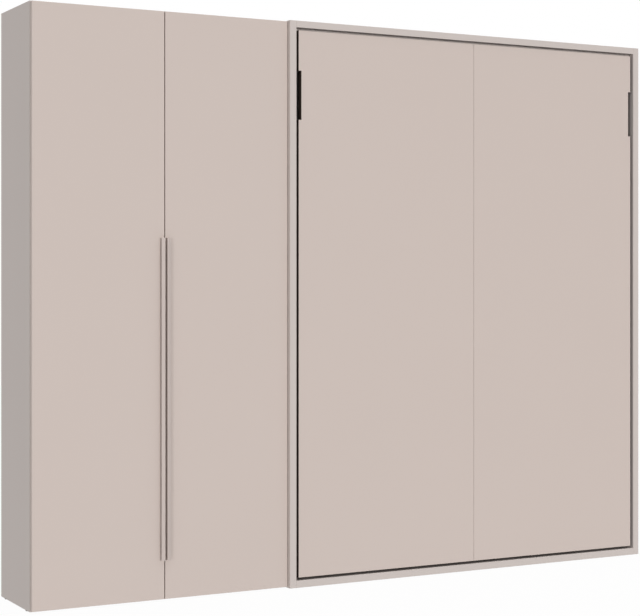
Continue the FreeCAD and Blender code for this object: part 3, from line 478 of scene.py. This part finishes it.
def lattice(i, j):
    """A lattice point of a mattress face, drawn in to the rounded corners: X, Z and how far
    it lies inside the seam."""
    width = half_width - seam_inset
    length = half_length - seam_inset
    x = (2 * i / columns - 1) * width
    z = (2 * j / rows - 1) * length
    beyond_x = abs(x) - (width - corner)
    beyond_z = abs(z) - (length - corner)
    if beyond_x > 0 and beyond_z > 0:
        a = beyond_x / corner
        b = beyond_z / corner
        round_x = corner * a * math.sqrt(1 - b * b / 2)
        round_z = corner * b * math.sqrt(1 - a * a / 2)
        x = math.copysign(width - corner + round_x, x)
        z = math.copysign(length - corner + round_z, z)
        inside = corner - math.hypot(round_x, round_z)
    else:
        inside = min(width - abs(x), length - abs(z))
    return x, z, max(inside, 0.0)


def rolled(inside):
    """How far a face lies below its flat, near the seam."""
    if inside >= edge_roll:
        return 0.0
    return seam_drop * (1 - math.sqrt(max(0.0, 1 - (1 - inside / edge_roll) ** 2)))


def quilted(x, z, inside):
    """How far the quilting sinks at a place: nothing on a puff, the most along a stitch."""
    first = abs(math.sin(math.pi * (x + z) / quilt_pitch))
    second = abs(math.sin(math.pi * (x - z) / quilt_pitch))
    share = min(1.0, inside / quilt_frame)
    if inside < quilt_frame:
        return puff * (1 - math.sin(math.pi * share) ** frame_roundness) * share
    return puff * (1 - (first * second) ** puff_roundness)


def pressed(z):
    """How far the straps press the sleeping face in."""
    sunk = 0.0
    for height in strap_heights:
        away = max(0.0, abs(bed_z + z - height) - strap_width / 2)
        sunk = max(sunk, strap_press * math.exp(-(away / press_reach * press_falloff) ** 2))
    return sunk


def sleeping_point(i, j):
    x, z, inside = lattice(i, j)
    bow = crown * ((x / half_width) ** 2 + (z / half_length) ** 2) / 2
    sunk = max(quilted(x, z, inside), pressed(z)) if inside > 0 else 0.0
    return Vector((bed_x + x, bed_high.y - bow - rolled(inside) - sunk, bed_z + z))


def slat_point(i, j):
    x, z, inside = lattice(i, j)
    return Vector((bed_x + x, bed_low.y + rolled(inside) * slat_face_roll, bed_z + z))


def rim():
    """The lattice points round a face, in order."""
    walk = [(i, 0) for i in range(columns)] + [(columns, j) for j in range(rows)]
    walk += [(columns - i, rows) for i in range(columns)] + [(0, rows - j) for j in range(rows)]
    return walk


def outward(i, j):
    """The direction away from the mattress at a lattice point of the rim."""
    x, z, _ = lattice(i, j)
    side = Vector((max(0.0, abs(x) - (half_width - seam_inset - corner)) * math.copysign(1, x), 0,
                   max(0.0, abs(z) - (half_length - seam_inset - corner)) * math.copysign(1, z)))
    return side.normalized()


bm = bmesh.new()
upper = [[bm.verts.new(sleeping_point(i, j)) for j in range(rows + 1)] for i in range(columns + 1)]
lower = [[bm.verts.new(slat_point(i, j)) for j in range(rows + 1)] for i in range(columns + 1)]
for grid in (upper, lower):
    for i in range(columns):
        for j in range(rows):
            bm.faces.new((grid[i][j], grid[i + 1][j], grid[i + 1][j + 1], grid[i][j + 1]))
walk = rim()
ring = [upper[i][j] for i, j in walk]
for k in range(1, border_rings + 1):
    if k == border_rings:
        following = [lower[i][j] for i, j in walk]
    else:
        share = k / border_rings
        swell = border_puff * abs(math.sin(math.pi * border_bands * share)) ** border_roundness
        following = []
        for i, j in walk:
            start = upper[i][j].co
            end = lower[i][j].co
            following.append(bm.verts.new(start.lerp(end, share) + outward(i, j) * swell))
    for n in range(len(walk)):
        m = (n + 1) % len(walk)
        bm.faces.new((ring[n], ring[m], following[m], following[n]))
    ring = following

knit_pitch = 2.4 * MM
border_stretch = 1.6
knit_depth = 0.6 * MM
cover_finish, graph = new_finish("knitted_cover")
here = graph.place()
across = graph.along(here, "X")
upward = graph.along(here, "Z")
depth = graph.along(here, "Y")
face_on = abs(graph.facing("Y")) > 0.6
wale = ((across + upward) * (math.tau / knit_pitch)).wave()
course = ((upward - across) * (math.tau / knit_pitch)).wave()
rib = (depth * (math.tau / (knit_pitch * border_stretch))).wave()
fuzz = graph.noise(1500.0, 3.0)
shade = graph.noise(12.0, 3.0)
stitch = (wale * course * face_on + rib * (1 - face_on)) * 0.35 + 0.5
cloth = graph.blend(stitch * 0.5 + shade * 0.5, colour_of(222, 219, 213), colour_of(240, 238, 233))
graph.close(Base_Color=cloth, Roughness=0.82 + 0.1 * fuzz,
            Normal=graph.bump(stitch * 0.7 + fuzz * 0.3, knit_depth, 0.7), Specular_IOR_Level=0.2)
mattress = piece_of("mattress_quilted", bm, "bed", cover_finish)
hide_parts("mattress")


# Corded seams of the mattress
# A tape folded over a cord and sewn in all round, where each face of the mattress meets its
# border. It is cut from the knit of the cover.
def sweep(bm, path, section, closed=False, flat=None):
    """Adds a bar of one section along a path. The section is given as sideways and outward
    distances; flat is a direction that its sideways axis keeps."""
    count = len(path)
    rings = []
    for n, point in enumerate(path):
        before = path[(n - 1) % count] if closed or n else point
        after = path[(n + 1) % count] if closed or n < count - 1 else point
        ahead = (after - before).normalized()
        side = (flat - flat.dot(ahead) * ahead).normalized()
        away = ahead.cross(side)
        rings.append([bm.verts.new(point + side * a + away * b) for a, b in section])
    size = len(section)
    spans = count if closed else count - 1
    for n in range(spans):
        near = rings[n]
        far = rings[(n + 1) % count]
        for k in range(size):
            m = (k + 1) % size
            bm.faces.new((near[k], near[m], far[m], far[k]))
    if not closed:
        bm.faces.new(rings[0])
        bm.faces.new(rings[-1])


def circle(radius, count):
    """The section of a round bar."""
    turn = math.tau / count
    return [(radius * math.cos(k * turn), radius * math.sin(k * turn)) for k in range(count)]


cord_radius = 3.2 * MM
cord_stand = 1.6 * MM
cord_points = 10
for name, point_of in (("mattress_seam_sleeping_face", sleeping_point),
                       ("mattress_seam_slat_face", slat_point)):
    bm = bmesh.new()
    path = [point_of(i, j) + outward(i, j) * cord_stand for i, j in walk]
    sweep(bm, path, circle(cord_radius, cord_points), closed=True, flat=Vector((0, 1, 0)))
    piece_of(name, bm, "bed", cover_finish)


# Mattress straps
# Flat polyester webbing pulled taut over the mattress, screwed to the side tubes at both ends.
# Each has a moulded ladder buckle with the free end doubled back through it.
strap_half = strap_width / 2
strap_thickness = 1.5 * MM
strap_edge = 0.5 * MM
strap_clear = 0.2 * MM
tab_reach = 24 * MM
bend_radius = 6 * MM
bend_steps = 5
cord_steps = 6
buckle_at = 520 * MM
tail_length = 130 * MM
tube_low, tube_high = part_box("bed_frame_side_tubes")


def taut_line(height):
    """The upper hull of the mattress and its cord in a cut across it, from side to side."""
    z = height - bed_z
    outline = []
    for i in range(columns + 1):
        x = (2 * i / columns - 1) * (half_width - seam_inset)
        inside = half_width - seam_inset - abs(x)
        bow = crown * ((x / half_width) ** 2 + (z / half_length) ** 2) / 2
        outline.append((x, bed_high.y - bow - rolled(inside) - strap_press))
    cord_x = half_width - seam_inset + cord_stand
    cord_y = outline[0][1]
    for step in range(cord_steps + 1):
        angle = math.pi / 2 * step / cord_steps
        outline.append((cord_x + cord_radius * math.cos(angle),
                        cord_y + cord_radius * math.sin(angle)))
        outline.append((-outline[-1][0], outline[-1][1]))
    outline.append((half_width, tube_high.y + bend_radius))
    outline.append((-half_width, tube_high.y + bend_radius))
    hull = []
    for point in sorted(outline):
        while len(hull) > 1:
            (ax, ay), (bx, by) = hull[-2:]
            if (bx - ax) * (point[1] - ay) - (by - ay) * (point[0] - ax) < 0:
                break
            hull.pop()
        hull.append(point)
    return hull


def strap_path(height):
    """The middle line of a strap, from one screwed end to the other."""
    lift = strap_clear + strap_thickness / 2
    line = []
    hull = taut_line(height)
    for n, (x, y) in enumerate(hull):
        before = hull[max(0, n - 1)]
        after = hull[min(len(hull) - 1, n + 1)]
        ahead = Vector((after[0] - before[0], after[1] - before[1])).normalized()
        if n in (0, len(hull) - 1):
            ahead = Vector((0, 1 if n == 0 else -1))
        line.append(Vector((bed_x + x - ahead.y * lift, y + ahead.x * lift, height)))
    ends = []
    for side, start in ((-1, line[0]), (1, line[-1])):
        base_y = tube_high.y + strap_clear + strap_thickness / 2
        turn = []
        for step in range(1, bend_steps + 1):
            angle = math.pi / 2 * step / bend_steps
            turn.append(Vector((start.x + side * bend_radius * (1 - math.cos(angle)),
                                base_y + bend_radius * (1 - math.sin(angle)), height)))
        turn.append(Vector((start.x + side * tab_reach, base_y, height)))
        ends.append(turn)
    return list(reversed(ends[0])) + line + ends[1]


half = strap_thickness / 2
strap_section = [(-strap_half, -half + strap_edge), (-strap_half + strap_edge, -half),
                 (strap_half - strap_edge, -half), (strap_half, -half + strap_edge),
                 (strap_half, half - strap_edge), (strap_half - strap_edge, half),
                 (-strap_half + strap_edge, half), (-strap_half, half - strap_edge)]
yarn_pitch = 1.6 * MM
webbing_depth = 0.4 * MM
webbing_finish, graph = new_finish("strap_webbing")
here = graph.place()
across = graph.along(here, "Z")
run = graph.along(here, "X") + graph.along(here, "Y")
pick = ((run + across) * (math.tau / yarn_pitch)).wave()
warp = ((run - across) * (math.tau / yarn_pitch)).wave()
yarn = pick * warp * 0.5 + 0.5
lint = graph.noise(1800.0, 2.0)
graph.close(Base_Color=graph.blend(yarn * 0.7 + lint * 0.3, colour_of(58, 58, 60),
                                   colour_of(98, 98, 100)),
            Roughness=0.7 + 0.15 * lint, Normal=graph.bump(yarn, webbing_depth, 0.8))
for name, height in zip(("mattress_strap_head", "mattress_strap_foot"), strap_heights):
    bm = bmesh.new()
    sweep(bm, strap_path(height), strap_section, flat=Vector((0, 0, 1)))
    strap = piece_of(name, bm, "bed", webbing_finish)
    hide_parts("mattress_straps")
    line = [p for p in strap_path(height) if 0 <= buckle_at + bed_x - p.x <= tail_length]
    bm = bmesh.new()
    layer = Vector((0, strap_thickness + strap_clear, 0))
    sweep(bm, [p + layer for p in line], strap_section, flat=Vector((0, 0, 1)))
    piece_of(name + "_tail", bm, "bed", webbing_finish)

buckle_half_width = 26 * MM
buckle_half_length = 17 * MM
buckle_corner = 5 * MM
buckle_bar = 2.6 * MM
cross_bar = 2.08 * MM
cross_bar_shares = (-0.3, 0.3)
corner_steps = 4
bar_points = 8
face_first = 10
bm = bmesh.new()
for height in strap_heights:
    line = strap_path(height)
    near = min(line, key=lambda p: abs(p.x - bed_x - buckle_at) - p.y * face_first)
    middle = Vector((bed_x + buckle_at, near.y + strap_thickness + buckle_bar, height))
    loop = []
    for quarter, (sx, sz) in enumerate(((1, 1), (-1, 1), (-1, -1), (1, -1))):
        for step in range(corner_steps + 1):
            angle = math.pi / 2 * (quarter + step / corner_steps)
            loop.append(middle + Vector((
                sx * (buckle_half_length - buckle_corner) + buckle_corner * math.cos(angle), 0,
                sz * (buckle_half_width - buckle_corner) + buckle_corner * math.sin(angle))))
    sweep(bm, loop, circle(buckle_bar, bar_points), closed=True, flat=Vector((0, 1, 0)))
    for share in cross_bar_shares:
        bar = middle + Vector((share * buckle_half_length, 0, 0))
        reach = Vector((0, 0, buckle_half_width))
        sweep(bm, [bar - reach, bar, bar + reach], circle(cross_bar, bar_points),
              flat=Vector((0, 1, 0)))
piece_of("strap_buckles", bm, "bed", nylon_finish)


# Screws and bolts
# Countersunk and pan-head chipboard screws hold the hinges, plates and angles; button-head
# bolts with a hexagon socket hold the arms and the leg brackets to the frame.
screw_points = 24
cross = 4
socket = 6
cross_waist = 0.38
head_profile = ((1.0, -0.1), (1.0, 0.2), (0.94, 0.55), (0.8, 0.85), (0.58, 1.0))
recess_profile = ((0.5, 1.0), (0.4, 0.35))


def add_screw(bm, place, facing, radius, height, recess):
    """Adds a domed head with a cross or a hexagon socket in it."""
    turn = Vector((0, 0, 1)).rotation_difference(Vector(facing)).to_matrix()
    rings = []
    for n, (share, up) in enumerate(head_profile + recess_profile):
        ring = []
        for k in range(screw_points):
            angle = math.tau * k / screw_points
            wide = radius * share
            if n >= len(head_profile) and recess == cross:
                wide = wide if k % (screw_points // cross) == 0 else wide * cross_waist
            elif n >= len(head_profile):
                side = math.tau / socket
                wide = wide / math.cos((angle % side) - side / 2)
            spot = Vector((wide * math.cos(angle), wide * math.sin(angle), height * up))
            ring.append(bm.verts.new(Vector(place) + turn @ spot))
        rings.append(ring)
    for near, far in zip(rings, rings[1:]):
        for k in range(screw_points):
            m = (k + 1) % screw_points
            bm.faces.new((near[k], near[m], far[m], far[k]))
    bm.faces.new(rings[0])
    bm.faces.new(rings[-1])


def screws(name, body, spots, radius, height, recess=cross):
    """A set of like zinc-plated screws as one piece. A spot is a place and where it faces."""
    bm = bmesh.new()
    for place, facing in spots:
        add_screw(bm, place, facing, radius, height, recess)
    piece_of(name, bm, body, zinc_finish, smooth=False)


hinge_shares = (0.05, 0.35, 0.65, 0.95)
grip_shares = (0.1, 0.5, 0.9)
ear_reach = 26 * MM
plate_face = 3 * MM
arm_face = 13 * MM
wing_y = 37 * MM
wing_reach = 21 * MM
adjuster_y = (16 * MM, 46 * MM)
for word in ("left", "right"):
    door_low, door_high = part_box(word + "_door_panel")
    cup_low, cup_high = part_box(word + "_hinge_cups")
    x = (cup_low.x + cup_high.x) / 2
    heights = [door_low.z + share * (door_high.z - door_low.z) for share in hinge_shares]
    spots = [((x, cup_high.y, z + up * ear_reach), (0, 1, 0)) for z in heights for up in (-1, 1)]
    screws(word + "_hinge_cup_screws", word + "_door", spots, radius=4 * MM, height=1.6 * MM)
    grip_low, grip_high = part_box(word + "_door_handle")
    x = (grip_low.x + grip_high.x) / 2
    spots = [((x, door_high.y, grip_low.z + share * (grip_high.z - grip_low.z)), (0, 1, 0))
             for share in grip_shares]
    screws(word + "_handle_screws", word + "_door", spots, radius=4.5 * MM, height=2 * MM)

arm_low, arm_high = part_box("hinge_arms")
plate_spots = []
adjuster_spots = []
for wall_x, into in ((arm_low.x, 1), (arm_high.x, -1)):
    for z in heights:
        for up in (-1, 1):
            spot = (wall_x + into * plate_face, arm_low.y + wing_y, z + up * wing_reach)
            plate_spots.append((spot, (into, 0, 0)))
        for y in adjuster_y:
            spot = (wall_x + into * arm_face, arm_low.y + y, z)
            adjuster_spots.append((spot, (into, 0, 0)))
screws("hinge_plate_screws", "cabinet", plate_spots, radius=4 * MM, height=1.8 * MM)
screws("hinge_adjusting_screws", "cabinet", adjuster_spots, radius=3.4 * MM, height=1.2 * MM)

# How far back and up from the bed's pivot the screws of its plates sit, in millimetres
plate_places = ((26, 4), (-24, -12), (26, 88), (42, 148), (62, 178), (14, -72), (38, -134))
plate_thickness = 5 * MM
plate_low, plate_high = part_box("bed_pivot_plates")
pin_low, pin_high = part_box("bed_pivot_bushes")
pivot_y = (pin_low.y + pin_high.y) / 2
pivot_z = (pin_low.z + pin_high.z) / 2
spots = []
for wall_x, into in ((plate_low.x, 1), (plate_high.x, -1)):
    for y, z in plate_places:
        spot = (wall_x + into * plate_thickness, pivot_y + y * MM, pivot_z + z * MM)
        spots.append((spot, (into, 0, 0)))
screws("pivot_plate_screws", "cabinet", spots, radius=4.6 * MM, height=1.4 * MM)

arm_bolt_rises = (245 * MM, 300 * MM)
lower_bolt_inset = 18 * MM
leg_plate = 5 * MM
leg_bolt_drops = (24 * MM, 4 * MM)
leg_bolt_y = 9 * MM
frame_plane = (tube_low.y + tube_high.y) / 2
bed_arm_low, bed_arm_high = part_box("bed_arms")
spots = []
for x, out in ((bed_arm_low.x, -1), (bed_arm_high.x, 1)):
    for z in [pivot_z + rise for rise in arm_bolt_rises] + [tube_low.z + lower_bolt_inset]:
        spots.append(((x, frame_plane, z), (out, 0, 0)))
for x, out in ((tube_low.x - leg_plate, -1), (tube_high.x + leg_plate, 1)):
    for drop in leg_bolt_drops:
        spots.append(((x, tube_low.y + leg_bolt_y, bed_high.z - drop), (out, 0, 0)))
screws("frame_bolts", "bed", spots, radius=6 * MM, height=2.4 * MM, recess=socket)

angle_shares = (0.12, 0.37, 0.63, 0.88)
angle_middle = 20 * MM
angle_screw = 14 * MM
angle_sheet = 2 * MM
bracket_middle = 20 * MM
bracket_sheet = 5 * MM
bracket_screw_rises = (12 * MM, 30 * MM)
tab_screw = 16 * MM
angle_low, angle_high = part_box("front_panel_angles")
bracket_low, bracket_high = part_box("mattress_end_brackets")
spots = []
for wall_x, into in ((angle_low.x, 1), (angle_high.x, -1)):
    for share in angle_shares:
        start = tube_low.z + angle_sheet
        z = start + share * (tube_high.z - angle_sheet - start) + angle_middle
        spots.append(((wall_x + into * angle_screw, angle_low.y + angle_sheet, z), (0, 1, 0)))
        spots.append(((wall_x + into * angle_sheet, angle_low.y + angle_screw, z), (into, 0, 0)))
bracket_half = (bracket_high.x - bracket_low.x) / 2 - bracket_middle
for share in (-1, 0, 1):
    for rise in bracket_screw_rises:
        spot = (bed_x + share * bracket_half, tube_high.y + bracket_sheet, bracket_low.z + rise)
        spots.append((spot, (0, 1, 0)))
tab_face = tube_high.y + strap_thickness + strap_clear
for height in strap_heights:
    for side in (-1, 1):
        spot = (bed_x + side * (half_width + tab_screw), tab_face, height)
        spots.append((spot, (0, 1, 0)))
screws("bed_screws", "bed", spots, radius=4.4 * MM, height=2 * MM)


# Weld beads of the bed frame
# Short rippled beads where the cross pieces meet the side tubes and where the foot hoop
# stands on its tube, painted over with the frame.
bead_radius = 2.4 * MM
bead_step = 2.2 * MM
bead_points = 8
bead_flatness = 0.6
ripple_waist = 0.82
bead_end = 0.4


def weld(bm, path_of, length):
    """Adds a bead along a path, its ripples as wide and narrow rings in turn."""
    count = max(4, int(length / bead_step))
    points = [path_of(k / count) for k in range(count + 1)]
    lift = Vector((0, bead_flatness, 0))
    rings = []
    for n, point in enumerate(points):
        ahead = (points[min(n + 1, count)] - points[max(n - 1, 0)]).normalized()
        side = ahead.cross(Vector((0, 1, 0))).normalized()
        wide = bead_radius * (1.0 if n % 2 else ripple_waist)
        if n in (0, count):
            wide = wide * bead_end
        rings.append([bm.verts.new(point + side * a + lift * b)
                      for a, b in circle(wide, bead_points)])
    for near, far in zip(rings, rings[1:]):
        for k in range(bead_points):
            m = (k + 1) % bead_points
            bm.faces.new((near[k], near[m], far[m], far[k]))
    bm.faces.new(rings[0])
    bm.faces.new(rings[-1])


cross_low, cross_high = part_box("bed_frame_head_and_foot_tubes")
hoop_low, hoop_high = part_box("mattress_foot_hoop")
tube_reach = 40 * MM
back_y = tube_high.y
bm = bmesh.new()
for x in (cross_low.x, cross_high.x):
    for z in (cross_low.z, cross_high.z - tube_reach):
        weld(bm, lambda t, x=x, z=z: Vector((x, back_y, z + t * tube_reach)), tube_reach)
hoop_radius = (hoop_high.z - hoop_low.z) / 2
hoop_z = (hoop_low.z + hoop_high.z) / 2
for x in (hoop_low.x + hoop_radius, hoop_high.x - hoop_radius):
    weld(bm, lambda t, x=x: Vector((x + hoop_radius * math.cos(math.tau * t), back_y,
                                    hoop_z + hoop_radius * math.sin(math.tau * t))),
         math.tau * hoop_radius)
piece_of("frame_welds", bm, "bed", paint_finish)
